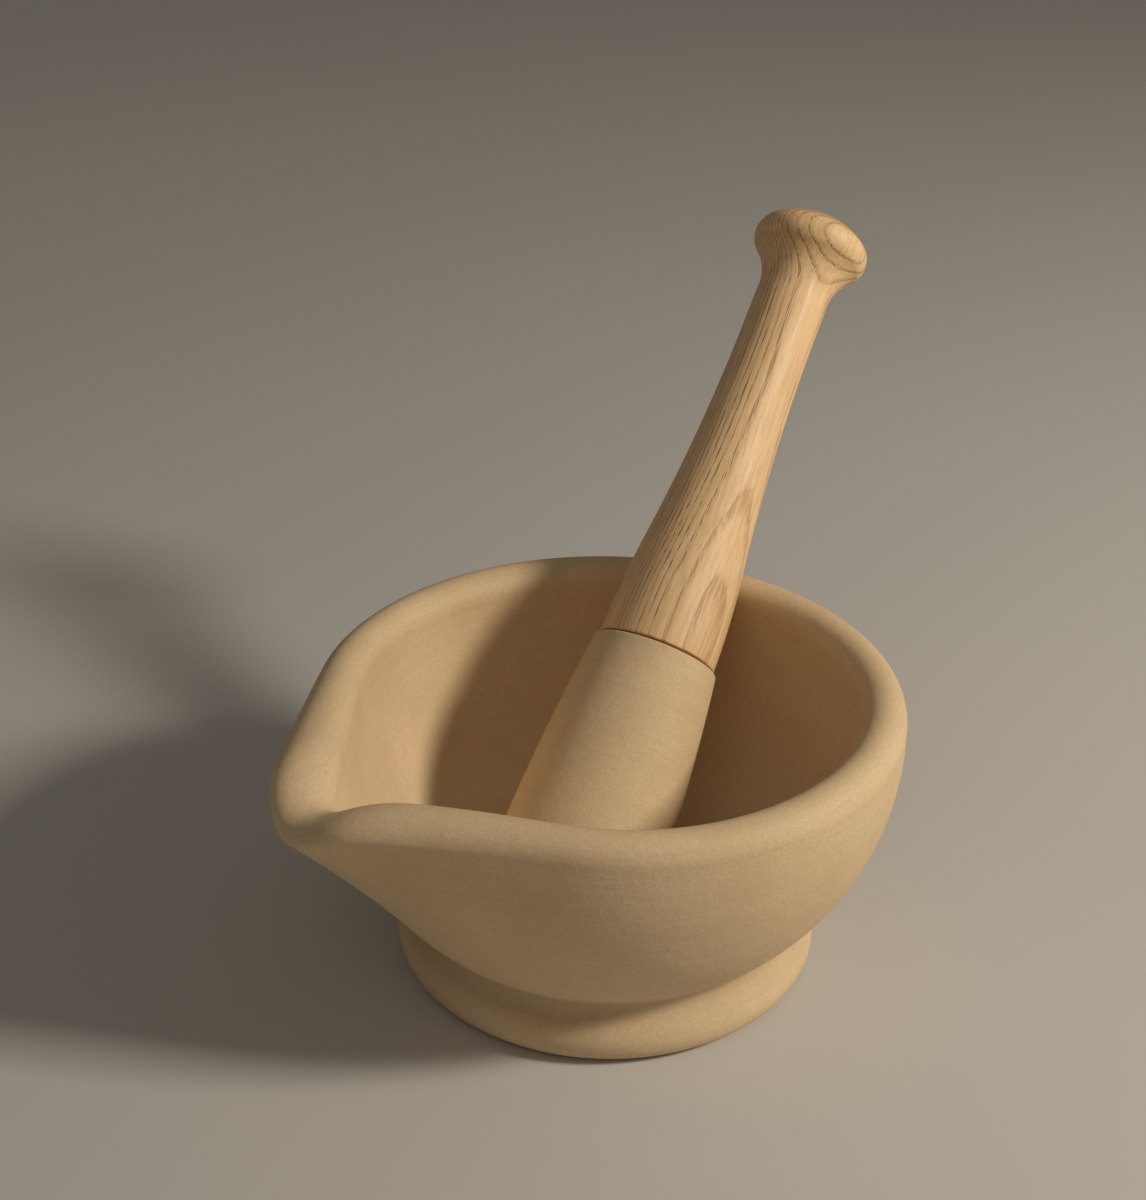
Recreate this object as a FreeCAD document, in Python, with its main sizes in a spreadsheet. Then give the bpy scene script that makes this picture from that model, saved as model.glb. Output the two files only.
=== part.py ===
"""Mortar with a pouring spout, and its two-piece pestle standing in it.

Millimetres, +Z up. The origin is on the mortar's axis, at the level of the sole of its foot.
The pestle's pieces are drawn upright on their own axis, with zero at the seam between the
ceramic head and the wooden handle, and are then laid over into the bowl.
"""
import FreeCAD, Part
import math
import os
import Sketcher
from FreeCAD import Placement, Rotation, Vector

SIZES = {
    # mortar, outside
    "rim_radius": 82.5,
    "body_height": 86.5,
    "lip_height": 80.2,
    "belly_radius": 76.5,
    "belly_centre_height": 76.0,
    "waist_radius": 4.5,
    "foot_radius": 61.0,
    "foot_widest_height": 6.5,
    "foot_roll_radius": 6.6,
    "foot_shoulder_radius": 8.5,
    "sole_radius": 55.5,
    # mortar, inside
    "hollow_radius": 70.0,
    "hollow_centre_height": 78.5,
    # pouring spout: the beak outside and the channel inside
    "spout_direction": -141.7,
    "beak_start_height": 33.4,
    "beak_nose_distance": 76.0,
    "beak_nose_radius": 28.3,
    "channel_start_height": 35.0,
    "channel_nose_distance": 79.7,
    "channel_nose_radius": 8.0,
    "notch_start_distance": 60.0,
    "notch_length": 60.0,
    "notch_radius": 14.0,
    "notch_depth": 6.0,
    # pestle head, measured down from the seam
    "head_seam_radius": 19.1,
    "head_side_radius": 686.0,
    "head_widest_radius": 24.1,
    "head_widest_depth": 63.0,
    "head_depth": 82.0,
    "head_cheek_radius": 15.0,
    "head_edge_rounding": 0.7,
    "socket_radius": 12.5,
    "socket_depth": 34.0,
    "socket_mouth_radius": 13.5,
    "socket_mouth_depth": 1.0,
    # handle, measured up from the seam
    "seam_gap": 0.8,
    "handle_seam_radius": 17.85,
    "handle_edge_rounding": 0.5,
    "shoulder_radius": 16.1,
    "shoulder_height": 31.0,
    "shoulder_side_radius": 270.0,
    "neck_radius": 11.2,
    "neck_height": 108.0,
    "shaft_side_radius": 660.0,
    "flare_start_height": 120.3,
    "flare_radius": 17.8,
    "knob_radius": 18.1,
    "knob_widest_height": 139.3,
    "knob_roll_radius": 6.0,
    "handle_height": 149.6,
    "tenon_radius": 11.9,
    "tenon_depth": 31.0,
    "tenon_chamfer": 1.5,
    "cement_top_depth": 1.5,
    # how the pestle stands in the bowl
    "lean_elevation": 44.0,
    "lean_direction": 62.6,
    "seam_x": 13.12,
    "seam_y": 35.64,
    "seam_z": 74.87,
}

SECTION_POINTS = 72
WALL_SECTIONS = 7
SQUEEZE = 0.8
BEAK_RISE_POWER = 1.6
CHANNEL_RISE_POWER = 1.2
LIP_TURNS = (0, 20, 40, 58, 74)

doc = FreeCAD.newDocument("mortar_and_pestle")
sheet = doc.addObject("Spreadsheet::Sheet", "sizes")
for row, (alias, number) in enumerate(SIZES.items(), start=1):
    sheet.set(f"A{row}", alias)
    sheet.set(f"B{row}", str(number))
    sheet.setAlias(f"B{row}", alias)
doc.recompute()


def size(alias):
    """A driving dimension, read back from the sheet. A leading minus sign turns it round."""
    if alias.startswith("-"):
        return -float(sheet.get(alias[1:]))
    return float(sheet.get(alias))


def expression(alias):
    """The same dimension as the sheet's own reference."""
    if alias.startswith("-"):
        return f"-sizes.{alias[1:]}"
    return f"sizes.{alias}"


# ---------------------------------------------------------------- sketching

def new_sketch(body, name, plane_role):
    """A sketch on one of the body's own origin planes."""
    plane = next(item for item in body.Origin.OriginFeatures if item.Role == plane_role)
    sketch = body.newObject("Sketcher::SketchObject", name)
    sketch.AttachmentSupport = [(plane, "")]
    sketch.MapMode = "FlatFace"
    return sketch


def number_of(coordinate):
    return size(coordinate) if isinstance(coordinate, str) else coordinate


def pin(sketch, geometry, end, point):
    """Hold one end of an edge at the sizes that place it. Plain numbers are left as drawn."""
    for kind, coordinate in zip(("DistanceX", "DistanceY"), point):
        if isinstance(coordinate, str):
            index = sketch.addConstraint(Sketcher.Constraint(kind, geometry, end, size(coordinate)))
            sketch.setExpression(f"Constraints[{index}]", expression(coordinate))
        elif coordinate == 0:
            axis = -2 if kind == "DistanceX" else -1
            sketch.addConstraint(Sketcher.Constraint("PointOnObject", geometry, end, axis))


def arc_between(start, finish, radius):
    """A short arc whose centre is left of the way from start to finish, or right if radius is negative."""
    chord = finish - start
    half = chord.Length / 2
    offset = math.sqrt(radius ** 2 - half ** 2) * math.copysign(1, radius)
    left = Vector(-chord.y, chord.x, 0).normalize()
    centre = (start + finish) / 2 + left * offset
    angles = [math.atan2(point.y - centre.y, point.x - centre.x) for point in (start, finish)]
    if radius < 0:
        angles.reverse()
    circle = Part.Circle(centre, Vector(0, 0, 1), abs(radius))
    return Part.ArcOfCircle(circle, angles[0], angles[1])


def draw_outline(sketch, corners):
    """A closed outline. Each corner is (x, y, radius of the arc that leads to it, or None for a line)."""
    points = [Vector(number_of(x), number_of(y), 0) for x, y, _ in corners]
    ends = []
    for index, (x, y, radius) in enumerate(corners):
        start, finish = points[index - 1], points[index]
        if radius is None:
            edge = sketch.addGeometry(Part.LineSegment(start, finish), False)
            first, last = 1, 2
        else:
            bend = number_of(radius)
            edge = sketch.addGeometry(arc_between(start, finish, bend), False)
            first, last = (1, 2) if bend > 0 else (2, 1)
            if isinstance(radius, str):
                held = sketch.addConstraint(Sketcher.Constraint("Radius", edge, abs(bend)))
                sketch.setExpression(f"Constraints[{held}]", expression(radius.lstrip("-")))
        ends.append((edge, first, last))
    for index, (edge, first, last) in enumerate(ends):
        previous, _, previous_last = ends[index - 1]
        sketch.addConstraint(Sketcher.Constraint("Coincident", previous, previous_last, edge, first))
        pin(sketch, edge, last, corners[index][:2])
    doc.recompute()


def revolved(body, name, sketch, kind="PartDesign::Revolution"):
    feature = body.newObject(kind, name)
    feature.Profile = sketch
    feature.ReferenceAxis = (sketch, ["V_Axis"])
    feature.Angle = 360.0
    doc.recompute()
    return feature


def turned_body(label, corners):
    """A piece turned about its own Z axis from one half outline."""
    body = doc.addObject("PartDesign::Body", label)
    sketch = new_sketch(body, f"{label}_profile", "XZ_Plane")
    draw_outline(sketch, corners)
    revolved(body, f"{label}_turning", sketch)
    return body


# ---------------------------------------------------------------- mortar

def belly(height):
    """Outside radius of the round wall: an arc that ends upright below the rim."""
    drop = max(size("belly_centre_height") - height, 0)
    offset = size("rim_radius") - size("belly_radius")
    return offset + math.sqrt(size("belly_radius") ** 2 - drop ** 2)


def hollow(height):
    """Radius of the round hollow: a half ball with a short upright mouth."""
    drop = max(size("hollow_centre_height") - height, 0)
    return math.sqrt(size("hollow_radius") ** 2 - drop ** 2)


def rise(height, start, power):
    """How much of the spout is there at a height, from 0 where it starts to 1 at the lip."""
    part = (height - start) / (size("lip_height") - start)
    return min(max(part, 0), 1) ** power


def spout_reach(angle, around, nose_distance, nose_radius):
    """How far a spout stands out from a circle: two tangents of the circle that run to a round nose."""
    turn = math.radians(abs(angle))
    leave = math.acos((around - nose_radius) / nose_distance)
    nose_edge = math.atan2(nose_radius * math.sin(leave), nose_distance + nose_radius * math.cos(leave))
    if turn >= leave:
        return 0
    if turn > nose_edge:
        return around / math.cos(leave - turn) - around
    aside = nose_distance * math.sin(turn)
    return nose_distance * math.cos(turn) + math.sqrt(nose_radius ** 2 - aside ** 2) - around


def wall_radius(height, angle):
    nose = (size("beak_nose_distance"), size("beak_nose_radius"))
    reach = spout_reach(angle, size("rim_radius"), *nose)
    return belly(height) + reach * rise(height, size("beak_start_height"), BEAK_RISE_POWER)


def hollow_radius(height, angle):
    nose = (size("channel_nose_distance"), size("channel_nose_radius"))
    reach = spout_reach(angle, size("hollow_radius"), *nose)
    return hollow(height) + reach * rise(height, size("channel_start_height"), CHANNEL_RISE_POWER)


def level_section(body, name, height, radius_at):
    """A closed level outline, its points closer together round the spout."""
    points = []
    for index in range(SECTION_POINTS):
        turn = 2 * math.pi * index / SECTION_POINTS
        angle = math.degrees(turn - SQUEEZE * math.sin(turn))
        from_spout = angle if angle <= 180 else angle - 360
        radius = radius_at(from_spout)
        direction = math.radians(angle + size("spout_direction"))
        points.append(Vector(radius * math.cos(direction), radius * math.sin(direction), 0))
    curve = Part.BSplineCurve()
    curve.interpolate(Points=points, PeriodicFlag=True)
    sketch = new_sketch(body, name, "XY_Plane")
    sketch.AttachmentOffset = Placement(Vector(0, 0, height), Rotation())
    sketch.addGeometry(curve, False)
    return sketch


def wall_levels(start, radius):
    """Even levels from the start height to the lip: each a height and its radius by angle."""
    step = (size("lip_height") - start) / (WALL_SECTIONS - 1)
    heights = [start + step * count for count in range(WALL_SECTIONS)]
    return [(height, lambda angle, height=height: radius(height, angle)) for height in heights]


def lip_levels(own_radius, other_radius):
    """Levels over one side of the lip, which is half an ellipse across the wall."""
    lip = size("lip_height")
    crest = (size("body_height") - lip) / math.sin(math.radians(LIP_TURNS[-1]))
    levels = []
    for turn in map(math.radians, LIP_TURNS):
        own_share = (1 + math.cos(turn)) / 2
        levels.append((lip + crest * math.sin(turn), lambda angle, share=own_share:
                       share * own_radius(lip, angle) + (1 - share) * other_radius(lip, angle)))
    return levels


def lofted(body, kind, name, levels):
    sections = [level_section(body, f"{name}_level_{count}", height, radius_at)
                for count, (height, radius_at) in enumerate(levels, start=1)]
    doc.recompute()
    loft = body.newObject(kind, name)
    loft.Profile = sections[0]
    loft.Sections = sections[1:]
    loft.Ruled = False
    doc.recompute()


def pouring_notch(body):
    """A round-bottomed notch in the lip at the nose, along the spout, where liquid leaves."""
    plan_turn = size("spout_direction") + 90
    sketch = new_sketch(body, "notch_profile", "XZ_Plane")
    outward = Rotation(Vector(0, 1, 0), plan_turn)
    sketch.AttachmentOffset = Placement(outward * Vector(0, 0, size("notch_start_distance")), outward)
    centre = size("body_height") - size("notch_depth") + size("notch_radius")
    round_bottom = Part.Circle(Vector(0, centre, 0), Vector(0, 0, 1), size("notch_radius"))
    circle = sketch.addGeometry(round_bottom, False)
    held = sketch.addConstraint(Sketcher.Constraint("Radius", circle, size("notch_radius")))
    sketch.setExpression(f"Constraints[{held}]", "sizes.notch_radius")
    held = sketch.addConstraint(Sketcher.Constraint("DistanceY", circle, 3, centre))
    sketch.setExpression(f"Constraints[{held}]", "sizes.body_height - sizes.notch_depth + sizes.notch_radius")
    sketch.addConstraint(Sketcher.Constraint("PointOnObject", circle, 3, -2))
    uncut = body.Tip.Shape.Volume
    notch = body.newObject("PartDesign::Pocket", "pouring_notch")
    notch.Profile = sketch
    notch.Reversed = True
    notch.setExpression("Length", "sizes.notch_length")
    doc.recompute()
    assert notch.Shape.Volume < uncut, "the notch cut nothing"


def waist_joins():
    """Where the hollow curve of the waist meets the foot's shoulder below it and the belly above it."""
    waist, shoulder = size("waist_radius"), size("foot_shoulder_radius")
    foot_centre = Vector(size("foot_radius") - shoulder, size("foot_widest_height"), 0)
    belly_centre = Vector(size("rim_radius") - size("belly_radius"), size("belly_centre_height"), 0)
    to_belly, to_foot = size("belly_radius") + waist, shoulder + waist
    apart = belly_centre - foot_centre
    along = (to_foot ** 2 - to_belly ** 2 + apart.Length ** 2) / (2 * apart.Length)
    aside = math.sqrt(to_foot ** 2 - along ** 2)
    up = Vector(apart).normalize()
    centre = foot_centre + up * along + Vector(up.y, -up.x, 0) * aside
    return [other + (centre - other).normalize() * radius
            for other, radius in ((foot_centre, shoulder), (belly_centre, size("belly_radius")))]


def mortar_bowl():
    body = doc.addObject("PartDesign::Body", "mortar_bowl")
    start = "beak_start_height"
    shoulder_end, belly_end = waist_joins()
    foot = new_sketch(body, "foot_profile", "XZ_Plane")
    draw_outline(foot, [
        (0, 0, None),
        ("sole_radius", 0, None),
        ("foot_radius", "foot_widest_height", "foot_roll_radius"),
        (shoulder_end.x, shoulder_end.y, "foot_shoulder_radius"),
        (belly_end.x, belly_end.y, "-waist_radius"),
        (belly(size(start)), start, "belly_radius"),
        (0, start, None),
    ])
    revolved(body, "foot_and_base", foot)
    lofted(body, "PartDesign::AdditiveLoft", "wall_and_beak", wall_levels(size(start), wall_radius))
    lofted(body, "PartDesign::AdditiveLoft", "lip_outside", lip_levels(wall_radius, hollow_radius))

    start = "channel_start_height"
    lofted(body, "PartDesign::SubtractiveLoft", "lip_inside", lip_levels(hollow_radius, wall_radius))
    lofted(body, "PartDesign::SubtractiveLoft", "hollow_and_channel", wall_levels(size(start), hollow_radius))
    floor = new_sketch(body, "bowl_floor_profile", "XZ_Plane")
    floor_height = size("hollow_centre_height") - size("hollow_radius")
    draw_outline(floor, [
        (0, floor_height, None),
        (hollow(size(start)), start, "hollow_radius"),
        (0, start, None),
    ])
    uncut = body.Tip.Shape.Volume
    floor_cut = revolved(body, "bowl_floor", floor, "PartDesign::Groove")
    assert floor_cut.Shape.Volume < uncut, "the bowl floor cut nothing"
    pouring_notch(body)
    return body


# ---------------------------------------------------------------- pestle

def tangent_point(centre, radius, other):
    """Where a circle meets one whose centre is other, on the line through both centres."""
    return centre + (centre - other).normalize() * radius


def dome_join(widest, height, cheek, pole):
    """A dome of two tangent arcs, a cheek and a crown: where they meet, and the crown's radius.

    The cheek leaves the widest radius upright at the given height; the crown ends on the axis at
    the pole. A pole below the height turns the dome upside down.
    """
    rise_to_pole = abs(pole - height)
    cheek_centre = widest - cheek
    crown = (cheek_centre ** 2 + rise_to_pole ** 2 - cheek ** 2) / (2 * (rise_to_pole - cheek))
    up = math.copysign(1, pole - height)
    centre = Vector(cheek_centre, height, 0)
    crown_centre = Vector(0, pole - up * crown, 0)
    return tangent_point(centre, cheek, crown_centre), crown


def pestle_head():
    """Ceramic head: a club with a rounded end and a blind socket for the handle."""
    depth = size("-head_widest_depth")
    join, crown = dome_join(size("head_widest_radius"), depth, size("head_cheek_radius"), size("-head_depth"))
    rounding = size("head_edge_rounding")
    return turned_body("pestle_head", [
        (0, "-head_depth", None),
        (join.x, join.y, crown),
        ("head_widest_radius", "-head_widest_depth", "head_cheek_radius"),
        ("head_seam_radius", -rounding, "head_side_radius"),
        (size("head_seam_radius") - rounding, 0, "head_edge_rounding"),
        ("socket_mouth_radius", 0, None),
        ("socket_radius", "-socket_mouth_depth", None),
        ("socket_radius", "-socket_depth", None),
        (0, "-socket_depth", None),
    ])


def pestle_handle():
    """Turned wooden handle: tenon, tapering shaft and a mushroom knob."""
    gap = size("seam_gap")
    rounding = size("handle_edge_rounding")
    chamfer = size("tenon_chamfer")
    cheek = size("knob_roll_radius")
    widest = Vector(size("knob_radius") - cheek, size("knob_widest_height"), 0)
    flare = Vector(size("neck_radius") + size("flare_radius"), size("flare_start_height"), 0)
    under_knob = tangent_point(widest, -cheek, flare)
    join, crown = dome_join(size("knob_radius"), size("knob_widest_height"), cheek, size("handle_height"))
    return turned_body("pestle_handle", [
        (0, "-tenon_depth", None),
        (size("tenon_radius") - chamfer, "-tenon_depth", None),
        ("tenon_radius", size("-tenon_depth") + chamfer, None),
        ("tenon_radius", "seam_gap", None),
        (size("handle_seam_radius") - rounding, "seam_gap", None),
        ("handle_seam_radius", gap + rounding, "handle_edge_rounding"),
        ("shoulder_radius", "shoulder_height", "shoulder_side_radius"),
        ("neck_radius", "neck_height", "-shaft_side_radius"),
        ("neck_radius", "flare_start_height", None),
        (under_knob.x, under_knob.y, "-flare_radius"),
        (join.x, join.y, "knob_roll_radius"),
        (0, "handle_height", crown),
    ])


def handle_cement():
    """Adhesive that fills the socket round and under the tenon."""
    chamfer = size("tenon_chamfer")
    return turned_body("handle_cement", [
        (0, "-socket_depth", None),
        ("socket_radius", "-socket_depth", None),
        ("socket_radius", "-cement_top_depth", None),
        ("tenon_radius", "-cement_top_depth", None),
        ("tenon_radius", size("-tenon_depth") + chamfer, None),
        (size("tenon_radius") - chamfer, "-tenon_depth", None),
        (0, "-tenon_depth", None),
    ])


def stand_in_bowl(body):
    """Lay an upright pestle piece over, with its seam centre at the sizes that place it."""
    tilt = Rotation(size("lean_direction"), 90 - size("lean_elevation"), 0)
    body.Placement = Placement(Vector(size("seam_x"), size("seam_y"), size("seam_z")), tilt)
    for axis in "xyz":
        body.setExpression(f"Placement.Base.{axis}", f"sizes.seam_{axis}")


bodies = [mortar_bowl()]
for make in (pestle_head, pestle_handle, handle_cement):
    piece = make()
    stand_in_bowl(piece)
    bodies.append(piece)
doc.recompute()

for item in doc.Objects:
    if "Invalid" in item.State or "Error" in item.State:
        raise RuntimeError(f"{item.Label} did not build: {item.State}")
for body in bodies:
    if body.Shape.isNull() or not body.Shape.isValid() or len(body.Shape.Solids) != 1:
        raise RuntimeError(f"{body.Label} is not one sound solid")

os.makedirs("parts", exist_ok=True)
for body in bodies:
    body.Shape.exportStep(os.path.join("parts", f"{body.Label}.step"))
    print(f"{body.Label}: {body.Shape.Volume / 1000:.1f} cm3")
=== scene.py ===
from math import acos, asin, atan2, copysign, cos, hypot, pi, radians, sin, sqrt

import bpy
import numpy as np
from mathutils import Matrix, Vector


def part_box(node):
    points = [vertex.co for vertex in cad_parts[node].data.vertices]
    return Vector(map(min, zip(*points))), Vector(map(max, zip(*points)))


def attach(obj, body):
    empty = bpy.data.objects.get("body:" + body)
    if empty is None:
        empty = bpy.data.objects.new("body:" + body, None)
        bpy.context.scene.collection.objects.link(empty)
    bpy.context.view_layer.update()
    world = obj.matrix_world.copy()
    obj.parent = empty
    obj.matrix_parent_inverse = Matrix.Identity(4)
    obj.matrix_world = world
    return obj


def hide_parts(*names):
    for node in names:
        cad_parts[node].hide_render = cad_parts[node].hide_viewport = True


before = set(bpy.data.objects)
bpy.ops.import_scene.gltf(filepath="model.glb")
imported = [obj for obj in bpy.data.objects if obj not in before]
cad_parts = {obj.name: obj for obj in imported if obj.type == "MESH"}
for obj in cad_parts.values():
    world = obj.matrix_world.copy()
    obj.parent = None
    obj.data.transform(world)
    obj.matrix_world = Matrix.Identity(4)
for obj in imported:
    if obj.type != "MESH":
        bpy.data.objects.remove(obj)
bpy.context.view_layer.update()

# ---------------------------------------------------------------- sizes, in metres and degrees

# mortar, outside
RIM_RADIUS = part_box("mortar_bowl")[1].x
BODY_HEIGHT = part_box("mortar_bowl")[1].z
LIP_HEIGHT = 0.0802
BELLY_RADIUS = 0.0765
BELLY_CENTRE_HEIGHT = 0.076
WAIST_RADIUS = 0.0045
FOOT_RADIUS = 0.061
FOOT_WIDEST_HEIGHT = 0.0065
FOOT_ROLL_RADIUS = 0.0066
FOOT_SHOULDER_RADIUS = 0.0085
SOLE_RADIUS = 0.0555

# where the clay is worn by grinding, and where painted shade darkens the waist crease above the foot
WEAR_DEPTH = 0.0005
WEAR_STARTS_HEIGHT = 0.050
WEAR_FULL_HEIGHT = 0.024
HEAD_WEAR_SPREAD = 0.008
WAIST_SHADE_HEIGHT = 0.0165
WAIST_SHADE_EDGE = 0.008
WAIST_SHADE_CORE = 0.001

# mortar, inside
HOLLOW_RADIUS = 0.070
HOLLOW_CENTRE_HEIGHT = 0.0785

# pouring spout: in plan, two tangents of the round wall that run to a round nose
SPOUT_DIRECTION = -141.7
BEAK_START_HEIGHT = 0.0334
BEAK_NOSE_DISTANCE = 0.076
BEAK_NOSE_RADIUS = 0.0283
BEAK_RISE_POWER = 1.6
CHANNEL_START_HEIGHT = 0.035
CHANNEL_NOSE_DISTANCE = 0.0797
CHANNEL_NOSE_RADIUS = 0.008
CHANNEL_RISE_POWER = 1.2

# the lip's height round the spout: a raised shoulder each side and a pouring notch at the nose
SHOULDER_LIFT = 0.0017
SHOULDER_ANGLE = 27.0
SHOULDER_SPREAD = 25.5
NOTCH_DEPTH = 0.0068
NOTCH_SPREAD = 6.9

# pestle head, measured down from the seam
HEAD_SEAM_RADIUS = 0.0191
HEAD_SIDE_RADIUS = 0.686
HEAD_WIDEST_RADIUS = 0.0241
HEAD_WIDEST_DEPTH = 0.063
HEAD_DEPTH = 0.082
HEAD_CHEEK_RADIUS = 0.015
HEAD_EDGE_ROUNDING = 0.0007
SOCKET_RADIUS = 0.0125
SOCKET_DEPTH = 0.034
SOCKET_MOUTH_RADIUS = 0.0135
SOCKET_MOUTH_DEPTH = 0.001

# pestle handle, measured up from the seam
SEAM_GAP = 0.0008
HANDLE_SEAM_RADIUS = 0.01785
HANDLE_EDGE_ROUNDING = 0.0005
SHOULDER_RADIUS = 0.0161
SHOULDER_HEIGHT = 0.031
SHOULDER_SIDE_RADIUS = 0.270
NECK_RADIUS = 0.0112
NECK_HEIGHT = 0.108
SHAFT_SIDE_RADIUS = 0.660
FLARE_START_HEIGHT = 0.1203
FLARE_RADIUS = 0.0178
KNOB_RADIUS = 0.0181
KNOB_WIDEST_HEIGHT = 0.1393
KNOB_ROLL_RADIUS = 0.006
HANDLE_HEIGHT = 0.1496
TENON_RADIUS = 0.0119
TENON_DEPTH = 0.031
TENON_CHAMFER = 0.0015
CEMENT_TOP_DEPTH = 0.0015

# how the pestle stands in the bowl
LEAN_ELEVATION = 44.0
LEAN_DIRECTION = 62.6

# how finely the skins are drawn
MORTAR_POINTS = 320
TURNED_POINTS = 192
SQUEEZE = 0.5


# ---------------------------------------------------------------- mesh making

def skin(name, rings, start, finish):
    """A closed skin over rings of equal point counts, capped by a point at each end."""
    rings = np.asarray(rings, float)
    count, points = rings.shape[:2]
    vertices = [tuple(start), *map(tuple, rings.reshape(-1, 3)), tuple(finish)]
    last = len(vertices) - 1
    faces = []
    for ring in range(count - 1):
        for point in range(points):
            beside = (point + 1) % points
            base = 1 + ring * points
            faces.append((base + point, base + beside, base + points + beside, base + points + point))
    for point in range(points):
        beside = (point + 1) % points
        faces.append((0, 1 + beside, 1 + point))
        faces.append((last, last - points + point, last - points + beside))
    mesh = bpy.data.meshes.new(name)
    mesh.from_pydata(vertices, [], faces)
    mesh.shade_smooth()
    piece = bpy.data.objects.new(name, mesh)
    bpy.context.scene.collection.objects.link(piece)
    return piece


def mark(piece, name, share):
    """A number from 0 to 1 at every point of a skin, from the point's place, for its material to read."""
    attribute = piece.data.attributes.new(name, "FLOAT", "POINT")
    attribute.data.foreach_set("value", [share(*vertex.co) for vertex in piece.data.vertices])


def fade(value, none, full):
    """A smooth rise from 0 to 1 as value goes from none to full."""
    part = min(max((value - none) / (full - none), 0), 1)
    return part * part * (3 - 2 * part)


def line(start, finish, steps):
    return [tuple(np.array(start) + (np.array(finish) - start) * step / steps) for step in range(1, steps + 1)]


def arc(start, finish, radius, steps):
    """A short arc whose centre is left of the way from start to finish, or right if radius is negative."""
    start, finish = np.array(start), np.array(finish)
    chord = finish - start
    half = np.hypot(*chord) / 2
    left = np.array([-chord[1], chord[0]]) / (2 * half)
    centre = (start + finish) / 2 + left * sqrt(radius ** 2 - half ** 2) * copysign(1, radius)
    begin = atan2(*(start - centre)[::-1])
    turn = 2 * asin(half / abs(radius)) * copysign(1, radius)
    angles = [begin + turn * step / steps for step in range(1, steps + 1)]
    return [tuple(centre + abs(radius) * np.array([cos(angle), sin(angle)])) for angle in angles]


def tangent_point(centre, radius, other):
    """Where a circle meets one whose centre is other, on the line through both centres."""
    away = np.array(centre) - other
    return tuple(np.array(centre) + away / np.hypot(*away) * radius)


def dome_join(widest, height, cheek, pole):
    """A dome of two tangent arcs, a cheek and a crown: where they meet, and the crown's radius."""
    rise_to_pole = abs(pole - height)
    cheek_centre = widest - cheek
    crown = (cheek_centre ** 2 + rise_to_pole ** 2 - cheek ** 2) / (2 * (rise_to_pole - cheek))
    up = copysign(1, pole - height)
    return tangent_point((cheek_centre, height), cheek, (0, pole - up * crown)), crown


def turned(name, outline):
    """A piece turned about its own Z axis. The outline starts and ends on the axis."""
    turns = np.linspace(0, 2 * pi, TURNED_POINTS, endpoint=False)
    rings = [np.stack([radius * np.cos(turns), radius * np.sin(turns), np.full_like(turns, height)], axis=1)
             for radius, height in outline[1:-1]]
    return skin(name, rings, (0, 0, outline[0][1]), (0, 0, outline[-1][1]))


# ---------------------------------------------------------------- mortar

def belly(height):
    drop = max(BELLY_CENTRE_HEIGHT - height, 0)
    return RIM_RADIUS - BELLY_RADIUS + sqrt(BELLY_RADIUS ** 2 - drop ** 2)


def hollow(height):
    drop = max(HOLLOW_CENTRE_HEIGHT - height, 0)
    return sqrt(HOLLOW_RADIUS ** 2 - drop ** 2)


def rise(height, start, power):
    """How much of the spout is there at a height, from 0 where it starts to 1 at the lip."""
    return min(max((height - start) / (LIP_HEIGHT - start), 0), 1) ** power


def spout_reach(angle, round_radius, nose_distance, nose_radius):
    """How far a spout stands out from the round wall, by angle from the spout's direction."""
    turn = np.radians(np.abs(angle))
    leave = acos((round_radius - nose_radius) / nose_distance)
    nose_edge = atan2(nose_radius * sin(leave), nose_distance + nose_radius * cos(leave))
    aside = np.minimum(nose_distance * np.sin(turn), nose_radius)
    nose = nose_distance * np.cos(turn) + np.sqrt(nose_radius ** 2 - aside ** 2)
    flank = round_radius / np.cos(np.minimum(leave - turn, leave))
    outline = np.where(turn < nose_edge, nose, np.where(turn < leave, flank, round_radius))
    return outline - round_radius


def wall_radius(height, angle):
    reach = spout_reach(angle, RIM_RADIUS, BEAK_NOSE_DISTANCE, BEAK_NOSE_RADIUS)
    return belly(height) + reach * rise(height, BEAK_START_HEIGHT, BEAK_RISE_POWER)


def hollow_radius(height, angle):
    reach = spout_reach(angle, HOLLOW_RADIUS, CHANNEL_NOSE_DISTANCE, CHANNEL_NOSE_RADIUS)
    return hollow(height) + reach * rise(height, CHANNEL_START_HEIGHT, CHANNEL_RISE_POWER)


def lip_sway(height, angle):
    """How much higher or lower than level the clay stands round the spout."""
    lift = SHOULDER_LIFT * np.exp(-((np.abs(angle) - SHOULDER_ANGLE) / SHOULDER_SPREAD) ** 2)
    notch = NOTCH_DEPTH * np.exp(-(angle / NOTCH_SPREAD) ** 2)
    return (lift - notch) * rise(height, CHANNEL_START_HEIGHT, 2)


def waist_joins():
    """Where the hollow curve of the waist meets the foot's shoulder below it and the belly above it."""
    foot_centre = np.array([FOOT_RADIUS - FOOT_SHOULDER_RADIUS, FOOT_WIDEST_HEIGHT])
    belly_centre = np.array([RIM_RADIUS - BELLY_RADIUS, BELLY_CENTRE_HEIGHT])
    to_belly, to_foot = BELLY_RADIUS + WAIST_RADIUS, FOOT_SHOULDER_RADIUS + WAIST_RADIUS
    apart = np.hypot(*(belly_centre - foot_centre))
    along = (to_foot ** 2 - to_belly ** 2 + apart ** 2) / (2 * apart)
    up = (belly_centre - foot_centre) / apart
    centre = foot_centre + up * along + np.array([up[1], -up[0]]) * sqrt(to_foot ** 2 - along ** 2)
    return [other + (centre - other) / np.hypot(*(centre - other)) * radius
            for other, radius in ((foot_centre, FOOT_SHOULDER_RADIUS), (belly_centre, BELLY_RADIUS))]


def worn_inside(x, y, z):
    """Where the pestle has ground the hollow's floor."""
    in_hollow = sqrt(x * x + y * y + (z - HOLLOW_CENTRE_HEIGHT) ** 2) < HOLLOW_RADIUS + WEAR_DEPTH
    return fade(z, WEAR_STARTS_HEIGHT, WEAR_FULL_HEIGHT) if in_hollow else 0.0


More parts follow.
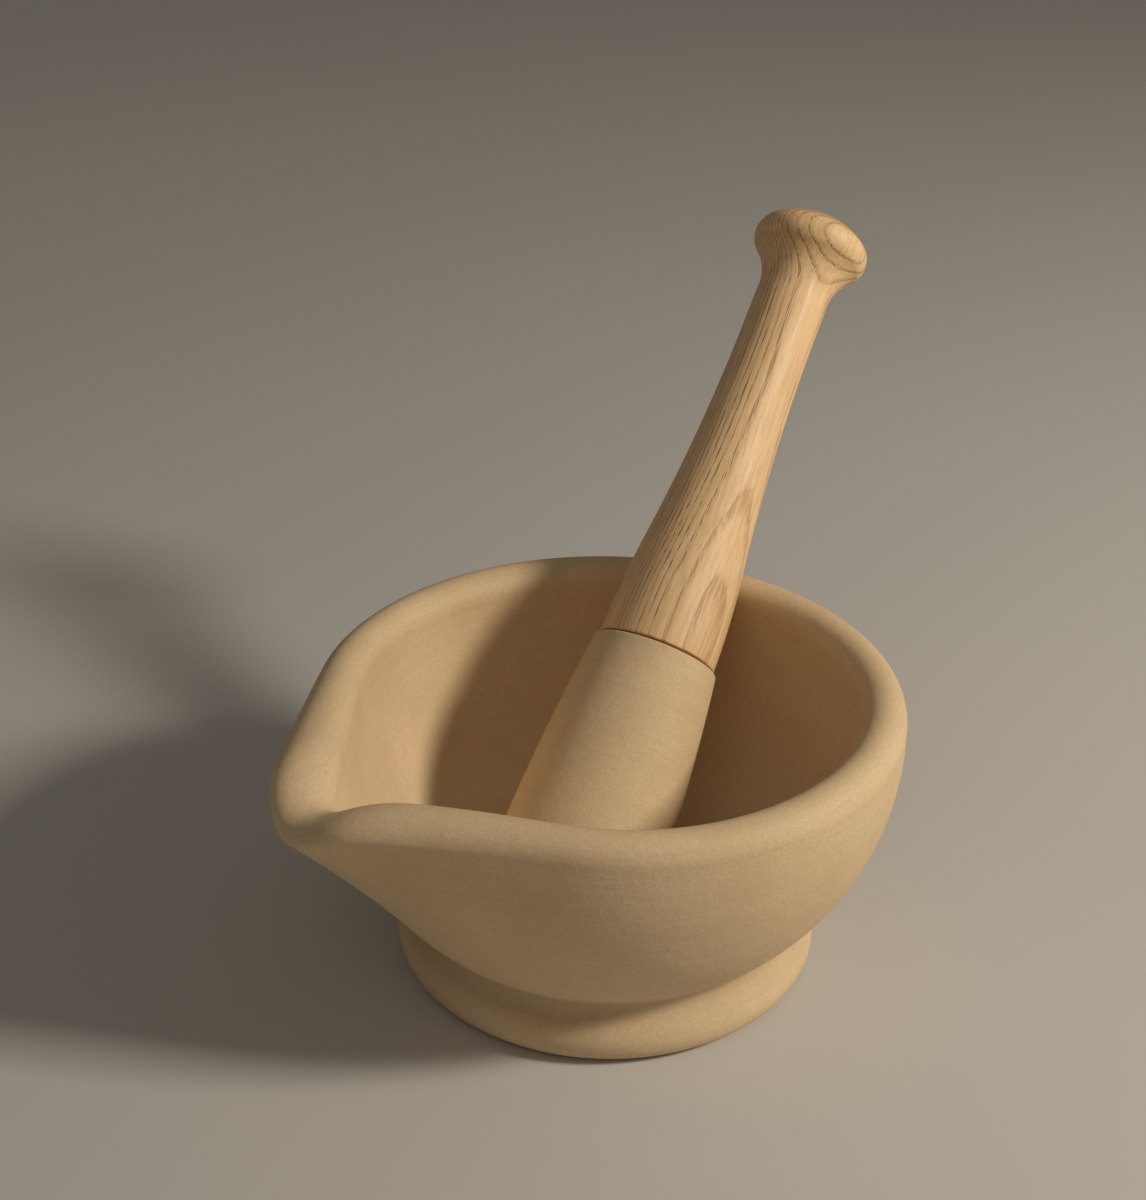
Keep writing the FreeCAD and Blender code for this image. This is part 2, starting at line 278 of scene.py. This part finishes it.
def shaded_waist(x, y, z):
    """Painted shade: a darker band in the hollow curve above the foot."""
    outside = hypot(x, y) > SOLE_RADIUS
    return fade(abs(z - WAIST_SHADE_HEIGHT), WAIST_SHADE_EDGE, WAIST_SHADE_CORE) if outside else 0.0


def mortar_bowl():
    """Foot, belly, beak, lip and hollow in one skin, drawn ring by ring from the sole to the floor."""
    turns = np.linspace(0, 2 * pi, MORTAR_POINTS, endpoint=False)
    turns = turns - SQUEEZE * np.sin(turns)
    angle = np.degrees((turns + pi) % (2 * pi) - pi)
    around = turns + radians(SPOUT_DIRECTION)
    rings = []

    def ring(radius, height):
        rings.append(np.stack([radius * np.cos(around), radius * np.sin(around),
                               height + lip_sway(height, angle)], axis=1))

    shoulder_end, belly_end = waist_joins()
    foot = [(SOLE_RADIUS * share, 0) for share in (0.1, 0.3, 0.5, 0.7, 0.9, 1)]
    foot += arc(foot[-1], (FOOT_RADIUS, FOOT_WIDEST_HEIGHT), FOOT_ROLL_RADIUS, 12)
    foot += arc(foot[-1], shoulder_end, FOOT_SHOULDER_RADIUS, 14)
    foot += arc(shoulder_end, belly_end, -WAIST_RADIUS, 10)
    for radius, height in foot:
        ring(radius, height)
    for height in np.linspace(belly_end[1], LIP_HEIGHT, 64)[1:]:
        ring(wall_radius(height, angle), height)
    outer, inner = wall_radius(LIP_HEIGHT, angle), hollow_radius(LIP_HEIGHT, angle)
    for turn in np.linspace(0, pi, 29)[1:-1]:
        share = (1 + cos(turn)) / 2
        ring(share * outer + (1 - share) * inner, LIP_HEIGHT + (BODY_HEIGHT - LIP_HEIGHT) * sin(turn))
    ring(inner, LIP_HEIGHT)
    for turn in np.linspace(0, pi / 2, 66)[:-1]:
        height = HOLLOW_CENTRE_HEIGHT - HOLLOW_RADIUS * sin(turn)
        ring(hollow_radius(height, angle), height)
    piece = skin("mortar_body", rings, (0, 0, 0), (0, 0, HOLLOW_CENTRE_HEIGHT - HOLLOW_RADIUS))
    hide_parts("mortar_bowl")
    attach(piece, "mortar")
    mark(piece, "ground", worn_inside)
    # painted shade for the waist crease above the foot
    mark(piece, "dust_and_shade", shaded_waist)
    return piece


# ---------------------------------------------------------------- pestle

def worn_end(_x, _y, z):
    """Where grinding has worn the pestle's head, from about its widest place down."""
    return fade(-z, HEAD_WIDEST_DEPTH - HEAD_WEAR_SPREAD, HEAD_WIDEST_DEPTH + HEAD_WEAR_SPREAD)


def pestle_head():
    join, crown = dome_join(HEAD_WIDEST_RADIUS, -HEAD_WIDEST_DEPTH, HEAD_CHEEK_RADIUS, -HEAD_DEPTH)
    outline = [(0, -HEAD_DEPTH)]
    outline += arc(outline[-1], join, crown, 24)
    outline += arc(join, (HEAD_WIDEST_RADIUS, -HEAD_WIDEST_DEPTH), HEAD_CHEEK_RADIUS, 20)
    outline += arc(outline[-1], (HEAD_SEAM_RADIUS, -HEAD_EDGE_ROUNDING), HEAD_SIDE_RADIUS, 40)
    outline += arc(outline[-1], (HEAD_SEAM_RADIUS - HEAD_EDGE_ROUNDING, 0), HEAD_EDGE_ROUNDING, 8)
    outline += line(outline[-1], (SOCKET_MOUTH_RADIUS, 0), 3)
    outline += line(outline[-1], (SOCKET_RADIUS, -SOCKET_MOUTH_DEPTH), 2)
    outline += line(outline[-1], (SOCKET_RADIUS, -SOCKET_DEPTH), 8)
    outline += line(outline[-1], (0, -SOCKET_DEPTH), 6)
    piece = turned("pestle_head_body", outline)
    mark(piece, "ground", worn_end)
    return piece


def pestle_handle():
    cheek_centre = (KNOB_RADIUS - KNOB_ROLL_RADIUS, KNOB_WIDEST_HEIGHT)
    under_knob = tangent_point(cheek_centre, -KNOB_ROLL_RADIUS, (NECK_RADIUS + FLARE_RADIUS, FLARE_START_HEIGHT))
    join, crown = dome_join(KNOB_RADIUS, KNOB_WIDEST_HEIGHT, KNOB_ROLL_RADIUS, HANDLE_HEIGHT)
    outline = [(0, -TENON_DEPTH)]
    outline += line(outline[-1], (TENON_RADIUS - TENON_CHAMFER, -TENON_DEPTH), 5)
    outline += line(outline[-1], (TENON_RADIUS, TENON_CHAMFER - TENON_DEPTH), 2)
    outline += line(outline[-1], (TENON_RADIUS, SEAM_GAP), 8)
    outline += line(outline[-1], (HANDLE_SEAM_RADIUS - HANDLE_EDGE_ROUNDING, SEAM_GAP), 4)
    outline += arc(outline[-1], (HANDLE_SEAM_RADIUS, SEAM_GAP + HANDLE_EDGE_ROUNDING), HANDLE_EDGE_ROUNDING, 6)
    outline += arc(outline[-1], (SHOULDER_RADIUS, SHOULDER_HEIGHT), SHOULDER_SIDE_RADIUS, 24)
    outline += arc(outline[-1], (NECK_RADIUS, NECK_HEIGHT), -SHAFT_SIDE_RADIUS, 56)
    outline += line(outline[-1], (NECK_RADIUS, FLARE_START_HEIGHT), 4)
    outline += arc(outline[-1], under_knob, -FLARE_RADIUS, 14)
    outline += arc(outline[-1], join, KNOB_ROLL_RADIUS, 16)
    outline += arc(outline[-1], (0, HANDLE_HEIGHT), crown, 18)
    return turned("pestle_handle_body", outline)


def stand_in_bowl(piece):
    """Lay an upright pestle piece over, about the middle of the cement, which the frame gives."""
    tilt = Matrix.Rotation(radians(LEAN_DIRECTION), 4, "Z") @ Matrix.Rotation(radians(90 - LEAN_ELEVATION), 4, "Y")
    low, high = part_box("handle_cement")
    below_seam = Matrix.Translation((0, 0, (SOCKET_DEPTH + CEMENT_TOP_DEPTH) / 2))
    piece.matrix_world = Matrix.Translation((low + high) / 2) @ tilt @ below_seam


# ---------------------------------------------------------------- materials

class Graph:
    """A new material and short names for the nodes that it is built from."""

    def __init__(self, name):
        self.material = bpy.data.materials.new(name)
        self.material.use_nodes = True
        self.tree = self.material.node_tree
        self.shader = self.tree.nodes["Principled BSDF"]
        self.coordinates = self.node("ShaderNodeTexCoord").outputs
        self.place = self.coordinates["Object"]

    def node(self, kind, inputs=(), **settings):
        made = self.tree.nodes.new(kind)
        for name, value in settings.items():
            setattr(made, name, value)
        for socket, value in dict(inputs).items():
            self.feed(made.inputs[socket], value)
        return made

    def feed(self, socket, value):
        if isinstance(value, bpy.types.NodeSocket):
            self.tree.links.new(value, socket)
        else:
            socket.default_value = value

    def math(self, operation, *values):
        return self.node("ShaderNodeMath", dict(enumerate(values)), operation=operation).outputs[0]

    def stretched(self, shares):
        """The place on the piece, with each axis counted at a share of its length."""
        inputs = {0: self.place, 1: shares}
        return self.node("ShaderNodeVectorMath", inputs, operation="MULTIPLY").outputs[0]

    def split(self, vector):
        return self.node("ShaderNodeSeparateXYZ", {0: vector}).outputs[:]

    def noise(self, vector, scale, detail=2.0, roughness=0.5):
        inputs = {"Vector": vector, "Scale": scale, "Detail": detail, "Roughness": roughness}
        return self.node("ShaderNodeTexNoise", inputs).outputs[0]

    def step(self, value, low, high, bottom=0.0, top=1.0):
        """A smooth change from bottom to top as value goes from low to high, which may be the smaller."""
        inputs = {"Value": value, "From Min": low, "From Max": high, "To Min": bottom, "To Max": top}
        return self.node("ShaderNodeMapRange", inputs, interpolation_type="SMOOTHSTEP").outputs[0]

    def mix(self, factor, first, second):
        made = self.node("ShaderNodeMix", data_type="RGBA")
        for socket, value in zip((0, 6, 7), (factor, first, second)):
            self.feed(made.inputs[socket], value)
        return made.outputs[2]

    def mark(self, name):
        return self.node("ShaderNodeAttribute", attribute_name=name).outputs["Fac"]

    def relief(self, height, depth, below=None):
        """Surface relief: height goes from 0 to 1 over a real depth in metres."""
        inputs = {"Strength": 1.0, "Distance": depth, "Height": height}
        made = self.node("ShaderNodeBump", inputs)
        if below is not None:
            self.feed(made.inputs["Normal"], below)
        return made.outputs[0]

    def finish(self, colour, roughness, normal, specular):
        self.feed(self.shader.inputs["Base Color"], colour)
        self.feed(self.shader.inputs["Roughness"], roughness)
        self.feed(self.shader.inputs["Normal"], normal)
        self.shader.inputs["Specular IOR Level"].default_value = specular
        return self.material


PALE_SAND = (0.86, 0.67, 0.44, 1)
DARK_SAND = (0.36, 0.23, 0.12, 1)
WORN_CLAY = (0.74, 0.60, 0.42, 1)
# colour of the painted shade in the waist crease
WAIST_SHADE_COLOUR = (0.36, 0.25, 0.15, 1)


def biscuit_ceramic(name, pale, deep):
    """Unglazed cream stoneware: clouded tone, sandy grain, faint turning marks and ground wear."""
    graph = Graph(name)
    clouds = graph.noise(graph.place, 38.0, 3.0, 0.55)
    grain = graph.noise(graph.place, 1300.0, 3.0, 0.7)
    sand = graph.noise(graph.place, 2400.0, 1.0)
    turning = graph.noise(graph.stretched((0.03, 0.03, 1)), 520.0, 3.0, 0.6)
    ground = graph.mark("ground")
    colour = graph.mix(graph.step(clouds, 0.30, 0.70), deep + (1,), pale + (1,))
    colour = graph.mix(graph.step(turning, 0.40, 0.72, 0.0, 0.22), colour, tuple(0.82 * part for part in deep) + (1,))
    colour = graph.mix(graph.step(grain, 0.36, 0.66, 0.0, 0.40), colour, tuple(0.76 * part for part in deep) + (1,))
    colour = graph.mix(graph.step(sand, 0.56, 0.74, 0.0, 0.30), colour, PALE_SAND)
    colour = graph.mix(graph.step(sand, 0.26, 0.20, 0.0, 0.40), colour, DARK_SAND)
    colour = graph.mix(graph.math("MULTIPLY", ground, 0.35), colour, WORN_CLAY)
    # painted shade: the waist crease above the foot is darkened
    colour = graph.mix(graph.math("MULTIPLY", graph.mark("dust_and_shade"), 0.30), colour, WAIST_SHADE_COLOUR)
    roughness = graph.math("MULTIPLY_ADD", ground, -0.12, graph.step(clouds, 0.3, 0.7, 0.66, 0.78))
    relief = graph.relief(graph.noise(graph.place, 260.0, 2.0), 0.00012)
    relief = graph.relief(turning, 0.00006, relief)
    relief = graph.relief(grain, 0.00007, relief)
    return graph.finish(colour, roughness, relief, 0.35)


# the tree's rings, in the handle's own upright frame: narrow near the pith, wider in its last years
RING_FACING = radians(241.0)
PITH_DISTANCE = 0.045
PITH_LEAN = 0.030
WIDE_RINGS_FROM = 0.0572
NARROW_RING = 0.00125
WIDE_RING = 0.0024
RING_PHASE = 0.86
RING_SWAY = 0.0020
RING_SHIVER = 0.0007
PALER_WITHIN = 0.0020
PALER_SHARE = 0.72
PALE_FIBRE = (0.90, 0.640, 0.365, 1)
DEEP_FIBRE = (0.77, 0.505, 0.260, 1)
DARK_STRAND = (0.62, 0.375, 0.170, 1)
PALE_STRAND = (0.94, 0.70, 0.42, 1)
END_GRAIN = (0.66, 0.365, 0.140, 1)
EARLY_WOOD = (0.50, 0.275, 0.110, 1)
OPEN_PORE = (0.330, 0.170, 0.065, 1)


def ash_wood():
    """Turned ash: growth rings about a pith beside the handle, with porous early wood."""
    graph = Graph("ash")
    x, y, z = graph.split(graph.place)
    sway = graph.noise(graph.stretched((1, 1, 0.30)), 26.0, 1.0)
    shiver = graph.noise(graph.stretched((1, 1, 0.22)), 240.0, 2.0)
    pith_away = graph.math("MULTIPLY_ADD", z, PITH_LEAN, PITH_DISTANCE)
    across = graph.math("MULTIPLY_ADD", pith_away, cos(RING_FACING), x)
    along = graph.math("MULTIPLY_ADD", pith_away, sin(RING_FACING), y)
    from_pith = graph.math("SQRT", graph.math("MULTIPLY_ADD", across, across, graph.math("MULTIPLY", along, along)))
    from_pith = graph.math("MULTIPLY_ADD", graph.math("SUBTRACT", sway, 0.5), RING_SWAY, from_pith)
    from_pith = graph.math("MULTIPLY_ADD", graph.math("SUBTRACT", shiver, 0.5), RING_SHIVER, from_pith)
    past_change = graph.math("SUBTRACT", from_pith, WIDE_RINGS_FROM)
    narrow_years = graph.math("DIVIDE", graph.math("MINIMUM", past_change, 0.0), NARROW_RING)
    wide_years = graph.math("DIVIDE", graph.math("MAXIMUM", past_change, 0.0), WIDE_RING)
    years = graph.math("ADD", narrow_years, wide_years)
    season = graph.math("FRACT", graph.math("ADD", years, RING_PHASE))
    early = graph.math("MULTIPLY", graph.step(season, 0.10, 0.42, 1.0, 0.0), graph.step(season, 0.0, 0.06))

    fibres = graph.noise(graph.stretched((1, 1, 0.02)), 2600.0, 2.0, 0.6)
    strands = graph.noise(graph.stretched((1, 1, 0.03)), 900.0, 2.0, 0.6)
    vessels = graph.noise(graph.stretched((1, 1, 0.045)), 2000.0, 1.0)
    specks = graph.noise(graph.stretched((1, 1, 0.08)), 2500.0, 1.0)
    upward = graph.math("ABSOLUTE", graph.split(graph.coordinates["Normal"])[2])
    end_grain = graph.step(upward, 0.45, 0.95)
    paler = graph.step(past_change, 0.0, PALER_WITHIN, 1.0, PALER_SHARE)
    early = graph.math("MULTIPLY", early, graph.math("MAXIMUM", graph.step(upward, 0.15, 0.45), paler))
    pores = graph.math("MULTIPLY", graph.step(vessels, 0.44, 0.62), early)
    pores = graph.math("MAXIMUM", pores, graph.step(specks, 0.66, 0.76, 0.0, 0.35))

    colour = graph.mix(fibres, DEEP_FIBRE, PALE_FIBRE)
    colour = graph.mix(graph.step(strands, 0.42, 0.66, 0.0, 0.42), colour, DARK_STRAND)
    colour = graph.mix(graph.step(strands, 0.42, 0.28, 0.0, 0.45), colour, PALE_STRAND)
    colour = graph.mix(graph.math("MULTIPLY", end_grain, 0.60), colour, END_GRAIN)
    band = graph.math("MULTIPLY", early, graph.math("MULTIPLY_ADD", end_grain, 0.28, 0.42))
    colour = graph.mix(band, colour, EARLY_WOOD)
    colour = graph.mix(graph.math("MULTIPLY", pores, 0.55), colour, OPEN_PORE)
    roughness = graph.step(fibres, 0.3, 0.7, 0.46, 0.60)
    relief = graph.relief(fibres, 0.00005)
    relief = graph.relief(graph.math("SUBTRACT", 1.0, pores), 0.00014, relief)
    return graph.finish(colour, roughness, relief, 0.40)


def cement():
    """Hard brown adhesive with a dull, lumpy face."""
    graph = Graph("cement")
    lumps = graph.noise(graph.place, 420.0, 3.0, 0.6)
    dust_and_shade = graph.noise(graph.place, 2200.0, 2.0)
    colour = graph.mix(lumps, (0.075, 0.042, 0.022, 1), (0.150, 0.090, 0.050, 1))
    # on the cement this mask gives pale specks of dust, not shade
    colour = graph.mix(graph.step(dust_and_shade, 0.55, 0.75, 0.0, 0.3), colour, (0.20, 0.14, 0.09, 1))
    return graph.finish(colour, graph.step(dust_and_shade, 0.3, 0.7, 0.7, 0.9), graph.relief(lumps, 0.0002), 0.3)


def plain_floor_finish():
    graph = Graph("studio_floor")
    tone = graph.noise(graph.place, 3.0, 2.0)
    colour = graph.mix(tone, (0.56, 0.545, 0.52, 1), (0.60, 0.585, 0.56, 1))
    return graph.finish(colour, 0.8, graph.relief(tone, 0.0001), 0.2)


# ---------------------------------------------------------------- studio

FLOOR_SIDE = 8.0
CAMERA_PLACE = (0.0, -0.50044, 0.37488)
CAMERA_YAW = 1.227
CAMERA_PITCH = -27.737
CAMERA_ROLL = 0.740
CAMERA_LENS = 62.16
KEY_PLACE = (1.00, -0.25, 0.76)
KEY_SIDE = 0.20
KEY_POWER = 11.0
KEY_COLOUR = (1.0, 0.92, 0.79)
FILL_PLACE = (-0.25, -0.95, 1.15)
FILL_SIDE = 0.90
FILL_POWER = 1.0
FILL_COLOUR = (1.0, 0.93, 0.82)
LOOK_AT = (0.0, 0.0, 0.05)
SKY_COLOUR = (1.0, 0.90, 0.78, 1.0)
SKY_STRENGTH = 0.135


def add_camera():
    data = bpy.data.cameras.new("camera")
    data.lens = CAMERA_LENS
    data.clip_start = 0.01
    camera = bpy.data.objects.new("camera", data)
    turn = Matrix.Rotation(radians(CAMERA_YAW), 4, "Z") @ Matrix.Rotation(radians(90 + CAMERA_PITCH), 4, "X")
    camera.matrix_world = Matrix.Translation(CAMERA_PLACE) @ turn @ Matrix.Rotation(radians(CAMERA_ROLL), 4, "Z")
    bpy.context.scene.collection.objects.link(camera)
    bpy.context.scene.camera = camera


def add_lamp(name, place, side, power, colour):
    data = bpy.data.lights.new(name, "AREA")
    data.size = side
    data.energy = power
    data.color = colour
    lamp = bpy.data.objects.new(name, data)
    lamp.location = place
    lamp.rotation_euler = (Vector(LOOK_AT) - Vector(place)).to_track_quat("-Z", "Y").to_euler()
    bpy.context.scene.collection.objects.link(lamp)


def add_floor():
    half = FLOOR_SIDE / 2
    mesh = bpy.data.meshes.new("floor")
    mesh.from_pydata([(-half, -half, 0), (half, -half, 0), (half, half, 0), (-half, half, 0)], [], [(0, 1, 2, 3)])
    mesh.materials.append(plain_floor_finish())
    floor = bpy.data.objects.new("floor", mesh)
    bpy.context.scene.collection.objects.link(floor)


def add_sky():
    world = bpy.data.worlds.new("studio")
    world.use_nodes = True
    background = world.node_tree.nodes["Background"]
    background.inputs["Color"].default_value = SKY_COLOUR
    background.inputs["Strength"].default_value = SKY_STRENGTH
    bpy.context.scene.world = world


# ---------------------------------------------------------------- the scene

mortar = mortar_bowl()
mortar.data.materials.append(biscuit_ceramic("mortar_ceramic", (0.76, 0.565, 0.345), (0.70, 0.51, 0.30)))

head = pestle_head()
handle = pestle_handle()
for made, node, slot_name in ((head, "pestle_head", "pestle_ceramic"), (handle, "pestle_handle", "handle_wood")):
    stand_in_bowl(made)
    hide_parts(node)
    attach(made, "pestle")
head.data.materials.append(biscuit_ceramic("pestle_ceramic", (0.74, 0.555, 0.335), (0.68, 0.495, 0.29)))
handle.data.materials.append(ash_wood())

cement_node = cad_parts["handle_cement"]
cement_node.data.materials.clear()
cement_node.data.materials.append(cement())

add_camera()
add_lamp("key", KEY_PLACE, KEY_SIDE, KEY_POWER, KEY_COLOUR)
add_lamp("fill", FILL_PLACE, FILL_SIDE, FILL_POWER, FILL_COLOUR)
add_floor()
add_sky()
bpy.context.scene.view_settings.view_transform = "Standard"
